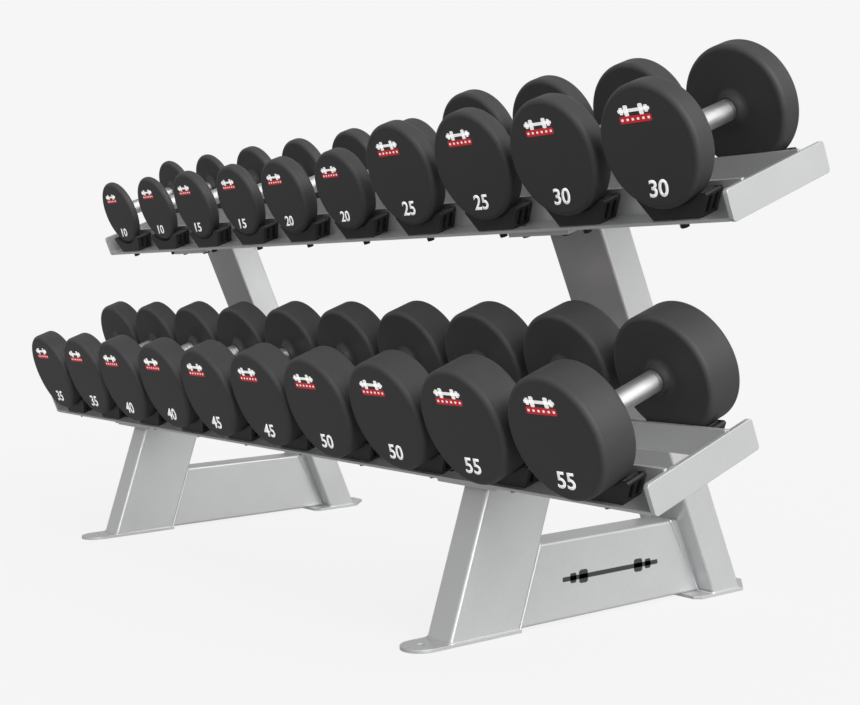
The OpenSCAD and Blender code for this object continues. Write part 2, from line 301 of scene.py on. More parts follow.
    @staticmethod
    def seat(piece: bpy.types.Object, body: str, slot: Slot | None, *nodes: str) -> None:
        """Puts a finished piece on its body and says which nodes it stands for."""
        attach(piece, body)
        if nodes:
            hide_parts(*nodes)
        log.info("%s: %d faces on %s", piece.name, len(piece.data.polygons), body)


# ---- Where things are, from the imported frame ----


@dataclass(frozen=True)
class Tier:
    """A tier's place, its slope and what stands on it."""

    level: Level
    y: float
    z: float
    tilt: float
    depth: float
    x_places: tuple[float, ...]

    def matrix(self, x: float = 0.0, u: float = 0.0, n: float = 0.0) -> Matrix:
        """Returns the place of a point of the tier, turned with the tier."""
        turn = Matrix.Translation((0, self.y, self.z)) @ Matrix.Rotation(self.tilt, 4, "X")
        return turn @ Matrix.Translation((x, u, n))

    def node(self, part: str) -> str:
        """Returns the name of one of the tier's nodes."""
        return f"{self.level.value}_{part}"


def frame_x(side: Side) -> float:
    """Returns where the end frame of a side stands along the rack."""
    low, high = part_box(side.node("front_leg"))
    return (low.x + high.x) / 2


def heads_node(level: Level, place: int) -> str:
    """Returns the node name of the two heads at a place, counted from 1."""
    return f"{level.value}_{place:02d}_heads"


def read_tier(level: Level, rail_t: float) -> Tier:
    """Reads a tier's place from its rails, its heads and the way that they lift.

    Args:
        level: Which tier.
        rail_t: The thickness of its rails.

    Returns:
        The tier.
    """
    axis = frame["joints"][0]["axis"]
    tilt = math.atan2(-axis[1], axis[2])
    low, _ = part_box(f"{level.value}_front_rail")
    y = low.y + rail_t * math.sin(tilt)
    wanted = f"{level.value}_"
    names = sorted(n for n in frame["nodes"] if n.startswith(wanted) and n.endswith("_heads"))
    boxes = [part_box(n) for n in names]
    rear_points = frame["nodes"][f"{level.value}_rear_rail"].data.vertices
    up = Vector((0, math.cos(tilt), math.sin(tilt)))
    origin = Vector((0, y, low.z))
    depth = max((v.co - origin).dot(up) for v in rear_points)
    return Tier(level, y, low.z, tilt, depth, tuple((a.x + b.x) / 2 for a, b in boxes))


# ---- Finishes ----


class NodeSheet:
    """A node tree that is filled node by node."""

    def __init__(self, tree: bpy.types.NodeTree) -> None:
        """Starts on an empty tree."""
        self.tree = tree
        tree.nodes.clear()

    def add(self, kind: str, **inputs: object) -> bpy.types.Node:
        """Adds a node and fills its settings and sockets.

        Args:
            kind: The node's type.
            inputs: Its settings, and its sockets by name with _ for a space.

        Returns:
            The node.
        """
        node = self.tree.nodes.new(kind)
        for key, value in inputs.items():
            if hasattr(node, key):
                setattr(node, key, value)
                continue
            socket = node.inputs[int(key[1:])] if key[0] == "i" and key[1:].isdigit() else (
                node.inputs[key.replace("_", " ")]
            )
            if isinstance(value, bpy.types.NodeSocket):
                self.tree.links.new(value, socket)
            else:
                socket.default_value = value
        return node

    def math(self, operation: str, *values: object) -> bpy.types.NodeSocket:
        """Adds a Math node over numbers or sockets and returns its result."""
        node = self.add("ShaderNodeMath", operation=operation)
        for socket, value in zip(node.inputs, values):
            if isinstance(value, bpy.types.NodeSocket):
                self.tree.links.new(value, socket)
            else:
                socket.default_value = value
        return node.outputs[0]

    def scale_range(self, value: bpy.types.NodeSocket, low: float, high: float,
                    to_low: float, to_high: float) -> bpy.types.NodeSocket:
        """Maps a value from one range to another, clamped, and returns the result."""
        node = self.add(
            "ShaderNodeMapRange", Value=value, From_Min=low, From_Max=high,
            To_Min=to_low, To_Max=to_high,
        )
        return node.outputs[0]


class Effects:
    """The effects that more than one finish uses, each built once as a node group."""

    _made: dict[str, bpy.types.NodeTree] = {}

    @classmethod
    def _group(cls, name: str, inputs: dict[str, float], outputs: tuple[str, ...]) -> NodeSheet:
        """Starts a group with its sockets."""
        tree = bpy.data.node_groups.new(name, "ShaderNodeTree")
        for key, value in inputs.items():
            socket = tree.interface.new_socket(key, in_out="INPUT", socket_type="NodeSocketFloat")
            socket.default_value = value
        for key in outputs:
            tree.interface.new_socket(key, in_out="OUTPUT", socket_type="NodeSocketFloat")
        cls._made[name] = tree
        return NodeSheet(tree)

    @classmethod
    def grain(cls) -> bpy.types.NodeTree:
        """Returns a fine random grain: a shade about 0.5 and a height.

        Returns:
            The group, with Size in metres, and Shade and Height out.
        """
        if "grain" in cls._made:
            return cls._made["grain"]
        sheet = cls._group("grain", {"Size": 0.001}, ("Shade", "Height"))
        given = sheet.add("NodeGroupInput")
        spot = sheet.add("ShaderNodeTexCoord").outputs["Object"]
        scale = sheet.math("DIVIDE", 1.0, given.outputs["Size"])
        coarse = sheet.math("MULTIPLY", scale, 0.31)
        fine_noise = sheet.add("ShaderNodeTexNoise", Vector=spot, Scale=scale, Detail=1.0)
        wide_noise = sheet.add("ShaderNodeTexNoise", Vector=spot, Scale=coarse, Detail=2.0)
        both = sheet.math(
            "ADD", sheet.math("MULTIPLY", fine_noise.outputs[0], 0.6),
            sheet.math("MULTIPLY", wide_noise.outputs[0], 0.4),
        )
        sheet.add("NodeGroupOutput", Shade=both, Height=fine_noise.outputs[0])
        return cls._made["grain"]

    @classmethod
    def smudge(cls) -> bpy.types.NodeTree:
        """Returns slow cloudy change, as handling and dust leave it, from 0 to 1.

        Returns:
            The group, with Size in metres in, and Cloud out.
        """
        if "smudge" in cls._made:
            return cls._made["smudge"]
        sheet = cls._group("smudge", {"Size": 0.1}, ("Cloud",))
        given = sheet.add("NodeGroupInput")
        spot = sheet.add("ShaderNodeTexCoord").outputs["Object"]
        scale = sheet.math("DIVIDE", 1.0, given.outputs["Size"])
        cloud = sheet.add(
            "ShaderNodeTexNoise", Vector=spot, Scale=scale, Detail=4.0, Roughness=0.62
        )
        sheet.add("NodeGroupOutput", Cloud=sheet.scale_range(cloud.outputs[0], 0.3, 0.7, 0.0, 1.0))
        return cls._made["smudge"]

    @classmethod
    def knurl(cls) -> bpy.types.NodeTree:
        """Returns a diamond knurl that follows a grip's own UV map.

        Returns:
            The group, with Around and Along as counts of the ridges, and Height out.
        """
        if "knurl" in cls._made:
            return cls._made["knurl"]
        sheet = cls._group("knurl", {"Around": 40.0, "Along": 30.0}, ("Height",))
        given = sheet.add("NodeGroupInput")
        flat = sheet.add("ShaderNodeSeparateXYZ", Vector=sheet.add("ShaderNodeUVMap").outputs[0])
        across = sheet.math("MULTIPLY", flat.outputs[0], given.outputs["Around"])
        along = sheet.math("MULTIPLY", flat.outputs[1], given.outputs["Along"])
        ridges = [
            sheet.math("ABSOLUTE", sheet.math("SINE", sheet.math(
                "MULTIPLY", sheet.math(turn, across, along), math.pi)))
            for turn in ("ADD", "SUBTRACT")
        ]
        sheet.add("NodeGroupOutput", Height=sheet.math("MULTIPLY", *ridges))
        return cls._made["knurl"]


@dataclass(frozen=True)
class Finish:
    """A painted, moulded or bare surface with a fine grain and slow clouds over it."""

    name: str
    colour: tuple[float, float, float]
    roughness: float
    metallic: float = 0.0
    specular: float = 0.5
    # glow: emission in the surface's own colour, so that it shines though no lamp is in it; above
    # zero it is painted light
    glow: float = 0.0
    grain_size: float = 0.001
    grain_shade: float = 0.1
    grain_depth: float = 0.00005
    cloud_size: float = 0.12
    cloud_shade: float = 0.05
    cloud_rough: float = 0.08

    def material(self) -> bpy.types.Material:
        """Returns the finish as a material."""
        made = bpy.data.materials.get(self.name)
        if made is not None:
            return made
        made = bpy.data.materials.new(self.name)
        made.use_nodes = True
        made.diffuse_color = (*self.colour, 1.0)
        sheet = NodeSheet(made.node_tree)
        # Emission in the finish's own colour at its glow strength: painted light wherever glow is
        # above zero
        shader = sheet.add(
            "ShaderNodeBsdfPrincipled", Metallic=self.metallic, Specular_IOR_Level=self.specular,
            Emission_Color=(*self.colour, 1.0), Emission_Strength=self.glow,
        )
        self.dress(sheet, shader)
        sheet.add("ShaderNodeOutputMaterial", Surface=shader.outputs[0])
        return made

    def dress(self, sheet: NodeSheet, shader: bpy.types.Node) -> None:
        """Feeds the shader's colour, roughness and normal.

        Args:
            sheet: The material's node tree.
            shader: Its Principled BSDF.
        """
        grain = sheet.add("ShaderNodeGroup", node_tree=Effects.grain(), Size=self.grain_size)
        cloud = sheet.add("ShaderNodeGroup", node_tree=Effects.smudge(), Size=self.cloud_size)
        shade = sheet.scale_range(
            grain.outputs["Shade"], 0.3, 0.7, 1 - self.grain_shade, 1 + self.grain_shade
        )
        slow = sheet.scale_range(
            cloud.outputs["Cloud"], 0.0, 1.0, 1 - self.cloud_shade, 1 + self.cloud_shade
        )
        value = self.shade_value(sheet, sheet.math("MULTIPLY", shade, slow))
        colour = sheet.add(
            "ShaderNodeMix", data_type="RGBA", blend_type="MULTIPLY", i0=1.0,
            i6=(*self.colour, 1.0), i7=sheet.add("ShaderNodeCombineColor", Red=value,
                                                Green=value, Blue=value).outputs[0],
        )
        sheet.tree.links.new(colour.outputs[2], shader.inputs["Base Color"])
        rough = sheet.scale_range(
            cloud.outputs["Cloud"], 0.0, 1.0,
            self.roughness - self.cloud_rough / 2, self.roughness + self.cloud_rough / 2,
        )
        sheet.tree.links.new(rough, shader.inputs["Roughness"])
        bump = sheet.add(
            "ShaderNodeBump", Height=self.height(sheet, grain.outputs["Height"]),
            Strength=0.6, Distance=self.grain_depth,
        )
        sheet.tree.links.new(bump.outputs[0], shader.inputs["Normal"])

    def shade_value(self, sheet: NodeSheet, value: bpy.types.NodeSocket) -> bpy.types.NodeSocket:
        """Returns the shade that multiplies the colour."""
        return value

    def height(self, sheet: NodeSheet, grain: bpy.types.NodeSocket) -> bpy.types.NodeSocket:
        """Returns the height that the bump follows."""
        return grain


@dataclass(frozen=True)
class WornRubber(Finish):
    """Urethane painted lighter round the rims: partly wear from handling, partly a painted sheen
    where the round rims catch light.
    """

    worn: float = 0.35

    def shade_value(self, sheet: NodeSheet, value: bpy.types.NodeSocket) -> bpy.types.NodeSocket:
        """Returns the shade with the rims made lighter, as wear and painted sheen, by the piece's
        own rim attribute.
        """
        rim = sheet.add("ShaderNodeAttribute", attribute_name="rim").outputs["Fac"]
        # Lighter rims: part wear, part painted sheen
        lift = sheet.math("MULTIPLY_ADD", rim, self.worn, 1.0)
        return sheet.math("MULTIPLY", value, lift)


@dataclass(frozen=True)
class Knurled(Finish):
    """Chromed steel with a diamond knurl."""

    around: float = 44.0
    along: float = 76.0

    def height(self, sheet: NodeSheet, grain: bpy.types.NodeSocket) -> bpy.types.NodeSocket:
        """Returns the knurl's height."""
        knurl = sheet.add(
            "ShaderNodeGroup", node_tree=Effects.knurl(), Around=self.around, Along=self.along
        )
        return knurl.outputs["Height"]


POWDER_COAT = Finish(
    "silver_powder_coat", (0.62, 0.624, 0.628), 0.34, metallic=0.5, grain_size=0.0011,
    grain_shade=0.05, grain_depth=0.00004, cloud_shade=0.02, cloud_rough=0.05,
)
SADDLE_PLASTIC = Finish(
    "black_moulded_plastic", (0.022, 0.022, 0.0235), 0.5, specular=0.35, grain_size=0.0009,
    grain_shade=0.12, grain_depth=0.00006,
)
# The urethane's rims are painted lighter: partly wear, partly a painted sheen.
URETHANE = WornRubber(
    "charcoal_urethane", (0.047, 0.047, 0.0485), 0.52, specular=0.26, grain_size=0.0011,
    grain_shade=0.07, grain_depth=0.00003, cloud_size=0.07, cloud_shade=0.06,
)
CHROME = Finish(
    "satin_chrome", (0.62, 0.62, 0.625), 0.4, metallic=1.0, grain_size=0.0008,
    grain_shade=0.03, grain_depth=0.00001,
)
KNURLED_CHROME = Knurled(
    "knurled_chrome", (0.64, 0.64, 0.645), 0.42, metallic=1.0, grain_size=0.0008,
    grain_shade=0.04, grain_depth=0.0004,
)
BLACK_OXIDE = Finish(
    "black_oxide_steel", (0.02, 0.02, 0.022), 0.42, metallic=0.4, grain_size=0.0007,
    grain_shade=0.15, grain_depth=0.00003,
)
# The white and red inks are print, and they also glow faintly: painted light that makes the print
# brighter than the lamps make it.
WHITE_INK_WITH_PAINTED_GLOW = Finish(
    "white_ink_painted_glow", (0.93, 0.93, 0.925), 0.5, specular=0.3, glow=0.35, grain_size=0.0012,
    grain_shade=0.03, grain_depth=0.00001, cloud_shade=0.02,
)
RED_INK_WITH_PAINTED_GLOW = Finish(
    "red_ink_painted_glow", (0.62, 0.02, 0.03), 0.5, specular=0.3, glow=0.2, grain_size=0.0012,
    grain_shade=0.05, grain_depth=0.00001, cloud_shade=0.03,
)
GREY_INK = Finish(
    "dark_grey_ink", (0.03, 0.031, 0.034), 0.45, grain_size=0.0012, grain_shade=0.06,
    grain_depth=0.00001, cloud_shade=0.03,
)


# ---- Steelwork ----


@dataclass
class Steelwork:
    """The rack's plates and rails: copies of the CAD nodes with their edges eased."""

    edge: float = 0.7 * MM
    plate_edge: float = 1.3 * MM
    merge: float = 0.01 * MM
    flat_angle: float = 0.5

    def build(self) -> None:
        """Builds every plate and rail, and paints the tubes."""
        for level in Level:
            for part, ending, width in (
                ("front_rail", "folded", self.edge),
                ("rear_rail", "folded", self.edge),
                ("end_plates", "eased", self.plate_edge),
                ("mount_plates", "eased", self.edge),
            ):
                node = f"{level.value}_{part}"
                self.ease(f"{node}_{ending}", node, width)
        for side in Side:
            self.ease(side.node("foot_plates_eased"), side.node("foot_plates"), self.edge)
            for part in ("front_leg", "rear_post", "cross_beam"):
                tube = frame["nodes"][side.node(part)]
                Bench.paint(tube, POWDER_COAT.material())

    def ease(self, name: str, node: str, width: float) -> None:
        """Makes a copy of a node with eased edges and puts it in the node's place.

        Args:
            name: The new piece's name.
            node: The CAD node that it stands for.
            width: The width of the easing.
        """
        piece = Bench.copy(frame["nodes"][node], name, Matrix.Identity(4))
        Bench.take(piece)
        if piece.data.has_custom_normals:
            bpy.ops.mesh.customdata_custom_splitnormals_clear()
        with Bench.editing(piece):
            bpy.ops.mesh.select_all(action="SELECT")
            bpy.ops.mesh.remove_doubles(threshold=self.merge)
            bpy.ops.mesh.dissolve_limited(angle_limit=math.radians(self.flat_angle))
        Bench.soften(piece, width)
        Bench.paint(piece, POWDER_COAT.material())
        Bench.seat(piece, RACK, Slot.FRAME, node)


@dataclass
class Welds:
    """Rippled weld beads where the tubes of an end frame meet each other and the plates."""

    tube_w: float = 136 * MM
    tube_n: float = 65 * MM
    corner: float = 5 * MM
    bead: float = 2.6 * MM
    pitch: float = 3.0 * MM
    ripple: float = 0.16
    plate_t: float = 9 * MM
    rail_t: float = 5 * MM
    rail_w: float = 50 * MM
    rail_start: float = 4 * MM
    leg_shift: float = 7 * MM
    post_shift: float = 3 * MM

    def build(self, tiers: list[Tier]) -> None:
        """Lays the beads of both end frames and of every tier.

        Args:
            tiers: The tiers that the frames carry.
        """
        for side in Side:
            self.lay_all(side.node("frame_welds"), self.runs(side) + self.top_rings(side, tiers))
        for tier in tiers:
            self.lay_all(tier.node("rail_welds"), self.rail_runs(tier))

    def lay_all(self, name: str, runs: list[tuple[list[Vector], bool]]) -> None:
        """Lays beads and seats them as one piece.

        Args:
            name: The piece's name.
            runs: Each bead's corner points, and whether it closes on itself.
        """
        beads = [self.lay(f"{name}_{i}", run, closed) for i, (run, closed) in enumerate(runs)]
        piece = Bench.join(name, beads)
        Bench.take(piece)
        bpy.ops.object.shade_smooth()
        Bench.paint(piece, POWDER_COAT.material())
        Bench.seat(piece, RACK, Slot.FRAME)

    def top_rings(self, side: Side, tiers: list[Tier]) -> list[tuple[list[Vector], bool]]:
        """Returns the beads round the tops of a frame's leg and post, under the mount plates."""
        rings = []
        for tier, node, shift in zip(tiers, ("front_leg", "rear_post"),
                                     (self.leg_shift, self.post_shift)):
            is_leg = node == "front_leg"
            low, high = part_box(side.node(node))
            lean = self.lean(side.node(node), low.z, is_leg)
            turn = tier.tilt + lean if is_leg else lean - tier.tilt
            half_u = (self.tube_w if is_leg else self.tube_n) / 2 / math.cos(turn)
            place = tier.matrix(frame_x(side), tier.depth / 2 + shift, -self.plate_t)
            rings.append((self.ring((high.x - low.x) / 2, half_u, place), True))
        return rings

    def rail_runs(self, tier: Tier) -> list[tuple[list[Vector], bool]]:
        """Returns the beads that hold a tier's rails to its end plates."""
        low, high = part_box(tier.node("front_rail"))
        wall_u = self.rail_w - self.rail_t
        corners = (
            (wall_u, self.rail_w - MM), (wall_u, self.rail_t), (self.rail_start, self.rail_t),
        )
        runs = []
        for x in (low.x, high.x):
            front = [tier.matrix(x, u, n).translation for u, n in corners]
            rear = [tier.matrix(x, tier.depth - u, n).translation for u, n in corners]
            runs += [(front, False), (rear, False)]
        return runs

    def ring(self, half_x: float, half_y: float, place: Matrix) -> list[Vector]:
        """Returns points round a tube's outline, in the XY plane of a place."""
        r = self.corner
        points = []
        for cx, cy, start in ((1, 1, 0), (-1, 1, 90), (-1, -1, 180), (1, -1, 270)):
            for step in range(5):
                a = math.radians(start + step * 22.5)
                points.append(Vector((
                    cx * (half_x - r) + r * math.cos(a), cy * (half_y - r) + r * math.sin(a), 0
                )))
        return [place @ p for p in points]

    def runs(self, side: Side) -> list[tuple[list[Vector], bool]]:
        """Works out where the beads of one end frame run.

        Args:
            side: Which end frame.

        Returns:
            Each bead's corner points, and whether it closes on itself.
        """
        leg_low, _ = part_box(side.node("front_leg"))
        post_low, post_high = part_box(side.node("rear_post"))
        x = frame_x(side)
        lean_leg = self.lean(side.node("front_leg"), leg_low.z, True)
        lean_post = self.lean(side.node("rear_post"), post_low.z, False)
        leg_half = self.tube_w / 2 / math.cos(lean_leg)
        post_half = self.tube_n / 2 / math.cos(lean_post)
        foot_z = leg_low.z
        leg_y = leg_low.y + leg_half
        post_y = post_high.y - post_half
        half_n, half_w = self.tube_n / 2, self.tube_w / 2
        runs = [
            (self.ring(half_n, leg_half, Matrix.Translation((x, leg_y, foot_z))), True),
            (self.ring(half_w, post_half, Matrix.Translation((x, post_y, foot_z))), True),
        ]
        for start, slope in (
            (leg_y + leg_half, math.tan(lean_leg)),
            (post_y - post_half, -math.tan(lean_post)),
        ):
            low = Vector((0, start, foot_z))
            top = Vector((0, start + slope * self.tube_w, foot_z + self.tube_w))
            left = Vector((x - half_n, 0, 0))
            right = Vector((x + half_n, 0, 0))
            runs.append(([low + left, top + left, top + right, low + right], False))
        return runs

    def lean(self, node: str, z: float, rearward: bool) -> float:
        """Returns a tube's lean from the upright, from the slant of its outer edge."""
        points = [v.co for v in frame["nodes"][node].data.vertices]
        foot = [p for p in points if abs(p.z - z) < EPS]
        pick = min if rearward else max
        start = pick(foot, key=lambda p: p.y)
        edge = [p for p in points if abs(p.x - start.x) < EPS and p.z > z + self.tube_n]
        end = pick(edge, key=lambda p: abs(p.y - start.y) / (p.z - z))
        return math.atan2(abs(end.y - start.y), end.z - z)

    def lay(self, name: str, run: list[Vector], closed: bool) -> bpy.types.Object:
        """Lays one rippled bead along corner points.

        Args:
            name: The bead's name.
            run: Its corner points.
            closed: Whether it closes on itself.

        Returns:
            The bead as a mesh.
        """
        ends = run + run[:1] if closed else run
        points = []
        for a, b in zip(ends, ends[1:]):
            count = max(1, round((b - a).length / self.pitch))
            points += [a.lerp(b, i / count) for i in range(count)]
        if not closed:
            points.append(run[-1])
        curve = bpy.data.curves.new(name, "CURVE")
        curve.dimensions = "3D"
        curve.bevel_depth = self.bead
        curve.bevel_resolution = 2
        curve.use_fill_caps = True
        spline = curve.splines.new("POLY")
        spline.points.add(len(points) - 1)
        spline.use_cyclic_u = closed
        for i, (target, point) in enumerate(zip(spline.points, points)):
            target.co = (*point, 1.0)
            target.radius = 1.0 - (i % 2) * self.ripple
        bead = bpy.data.objects.new(name, curve)
        bpy.context.scene.collection.objects.link(bead)
        Bench.take(bead)
        bpy.ops.object.convert(target="MESH")
        return bpy.context.object


# ---- Saddles and bolts ----


@dataclass
class Saddles:
    """The moulded cradles of a tier, modelled once and copied to every place."""

    rail_t: float
    foot_w: float = 98 * MM
    horn_w: float = 146 * MM
    height: float = 38.6 * MM
    chamfer_w: float = 2.5 * MM
    chamfer_h: float = 3.9 * MM
    depth: float = 37.5 * MM
    seat_h: float = 21 * MM
    seat_r: float = 98.6 * MM
    setback: float = 6.5 * MM
    recess_w: float = 7 * MM
    recess_d: float = 5 * MM
    recess_margin: float = 4.5 * MM
    pocket_wall: float = 3 * MM
    pocket_d: float = 3 * MM
    edge: float = 0.9 * MM
    seat_sides: int = 160

    def build(self, tiers: list[Tier]) -> None:
        """Builds the saddles of every tier.

        Args:
            tiers: The tiers that carry them.
        """
        model = self.model()
        for tier in tiers:
            copies = []
            for i, x in enumerate(tier.x_places):
                front = tier.matrix(x, self.setback, self.rail_t)
                back = tier.matrix(x, tier.depth - self.setback, self.rail_t)
                turned = back @ Matrix.Rotation(math.pi, 4, "Z")
                copies.append(Bench.copy(model, f"saddle_front_{i}", front))
                copies.append(Bench.copy(model, f"saddle_rear_{i}", turned))
            piece = Bench.join(tier.node("saddles_moulded"), copies)
            Bench.paint(piece, SADDLE_PLASTIC.material())
            Bench.seat(piece, RACK, Slot.SADDLE, tier.node("saddles"))
        bpy.data.objects.remove(model)

    def model(self) -> bpy.types.Object:
        """Models one saddle with its front face at y = 0 and its foot on z = 0.

        Returns:
            The saddle.
        """
        size = (self.horn_w, self.depth, self.flank_h)
        top_share = 1 - 2 * self.chamfer_w / self.horn_w
        saddle = Bench.block("saddle", size, (0, self.depth / 2, self.flank_h / 2))
        with Bench.editing(saddle):
            Bench.pick_faces(saddle, lambda middle, normal: normal.z < -0.9)
            bpy.ops.transform.resize(value=(self.foot_w / self.horn_w, 1, 1))
            Bench.pick_faces(saddle, lambda middle, normal: normal.z > 0.9)
            Bench.extrude((0, 0, self.chamfer_h))
            bpy.ops.transform.resize(value=(top_share, 1, 1))
        Bench.cut(saddle, self.seat_cutter())
        for side in Side:
            for start in self.recess_starts():
                Bench.cut(saddle, self.recess_cutter(side, start))
        with Bench.editing(saddle):
            Bench.pick_faces(
                saddle, lambda middle, normal: normal.z > 0.999 and middle.z > self.height - EPS
            )
            bpy.ops.mesh.inset(thickness=self.pocket_wall, use_even_offset=True)
            Bench.extrude((0, 0, -self.pocket_d))
        Bench.soften(saddle, self.edge)
        return saddle

    @property
    def flank_h(self) -> float:
        """The height of a flared flank, below the chamfer of its horn."""
        return self.height - self.chamfer_h

    def recess_starts(self) -> list[float]:
        """Returns where the two recesses of a flank begin, from the front face."""
        rib = (self.depth - 2 * self.recess_w) / 3
        return [rib, 2 * rib + self.recess_w]

    def seat_cutter(self) -> bpy.types.Object:
        """Returns a rod in the place of a head."""
        rod = Bench.rod("seat_cutter", self.seat_r, 3 * self.depth, self.seat_sides)
        centre = Matrix.Translation((0, 2 * self.depth, self.seat_h + self.seat_r))
        rod.data.transform(centre @ Matrix.Rotation(math.pi / 2, 4, "X"))
        return rod

    def recess_cutter(self, side: Side, start: float) -> bpy.types.Object:
        """Returns a block that lies along a flared flank.

        Args:
            side: Which flank.
            start: Where the recess begins, from the front face.

        Returns:
            The block.
        """
        flare = math.atan2((self.horn_w - self.foot_w) / 2, self.flank_h)
        length = (self.flank_h - 2 * self.recess_margin) / math.cos(flare)
        size = (2 * self.recess_d, self.recess_w, length)
        block = Bench.block("recess_cutter", size, (0, 0, 0))
        middle_x = side.value * (self.foot_w + self.horn_w) / 4
        place = Matrix.Translation((middle_x, start + self.recess_w / 2, self.flank_h / 2))
        block.data.transform(place @ Matrix.Rotation(side.value * flare, 4, "Y"))
        return block


@dataclass(frozen=True)
class HexagonBolt:
    """A hexagon bolt that points up, with its head hanging under z = 0."""

    name: str
    flats: float
    head_h: float
    shank_r: float
    reach: float
    flange_r: float = 0.0
    flange_t: float = 0.0
    corner: float = 1.2 * MM
    flange_edge: float = 0.4 * MM

    def build(self) -> bpy.types.Object:
        """Models the bolt.

        Returns:
            The bolt.
        """
        drop = self.flange_t + self.head_h
        radius = self.flats / 2 / math.cos(math.pi / 6)
        bolt = Bench.rod(self.name, radius, drop, 6)
        bolt.data.transform(Matrix.Translation((0, 0, -drop)))
        with Bench.editing(bolt):
            Bench.pick_faces(bolt, lambda middle, normal: normal.z > 0.999)
            bpy.ops.mesh.inset(thickness=self.flats / 2 - self.shank_r)
            Bench.extrude((0, 0, self.reach))
            Bench.pick_edges(bolt, lambda a, b: max(a.z, b.z) < -drop + EPS)
            bpy.ops.mesh.bevel(offset=self.corner, segments=2, profile=0.5, affect="EDGES")
        Bench.smooth(bolt)
        return Bench.join(self.name, [bolt, self.flange()]) if self.flange_r else bolt

    def flange(self) -> bpy.types.Object:
        """Models the ring under the head."""
        ring = Bench.rod("flange", self.flange_r, self.flange_t, 28)
        ring.data.transform(Matrix.Translation((0, 0, -self.flange_t)))
        Bench.soften(ring, self.flange_edge)
        return ring


@dataclass
class Bolts:
    """The flange bolts under the saddles and the bolts under the mount plates."""

    rail_t: float
    inset_u: float = 20 * MM
    thread: float = 12 * MM
    plate_t: float = 9 * MM
    plate_bolt_x: float = 52 * MM
    plate_bolt_u: float = 25 * MM

    def build(self, tiers: list[Tier]) -> None:
        """Builds both kinds of bolt on every tier.

        Args:
            tiers: The tiers that they hold together.
        """
        self.set_out(
            HexagonBolt("saddle_flange_bolts", 13 * MM, 10 * MM, 4 * MM,
                        self.rail_t + self.thread, 8.5 * MM, 1.6 * MM),
            [tier.matrix(x, u, 0) for tier in tiers for x in tier.x_places
             for u in (self.inset_u, tier.depth - self.inset_u)],
            "saddle_bolts",
        )
        self.set_out(
            HexagonBolt("rail_hexagon_bolts", 16 * MM, 6.4 * MM, 5 * MM,
                        self.plate_t + self.rail_t),
            [tier.matrix(frame_x(side) + way * self.plate_bolt_x, u, -self.plate_t)
             for tier in tiers for side in Side for way in (-1, 1)
             for u in (self.plate_bolt_u, tier.depth - self.plate_bolt_u)],
            "rail_bolts",
        )

    def set_out(self, bolt: HexagonBolt, places: list[Matrix], node: str) -> None:
        """Copies a bolt to all of its places.

        Args:
            bolt: The bolt.
            places: Where its copies go.
            node: The CAD node that they stand for.
        """
        model = bolt.build()
        piece = Bench.join(bolt.name, [Bench.copy(model, "bolt", place) for place in places])
        Bench.paint(piece, BLACK_OXIDE.material())
        Bench.seat(piece, RACK, Slot.BOLT, node)
        bpy.data.objects.remove(model)


# ---- Dumbbells ----


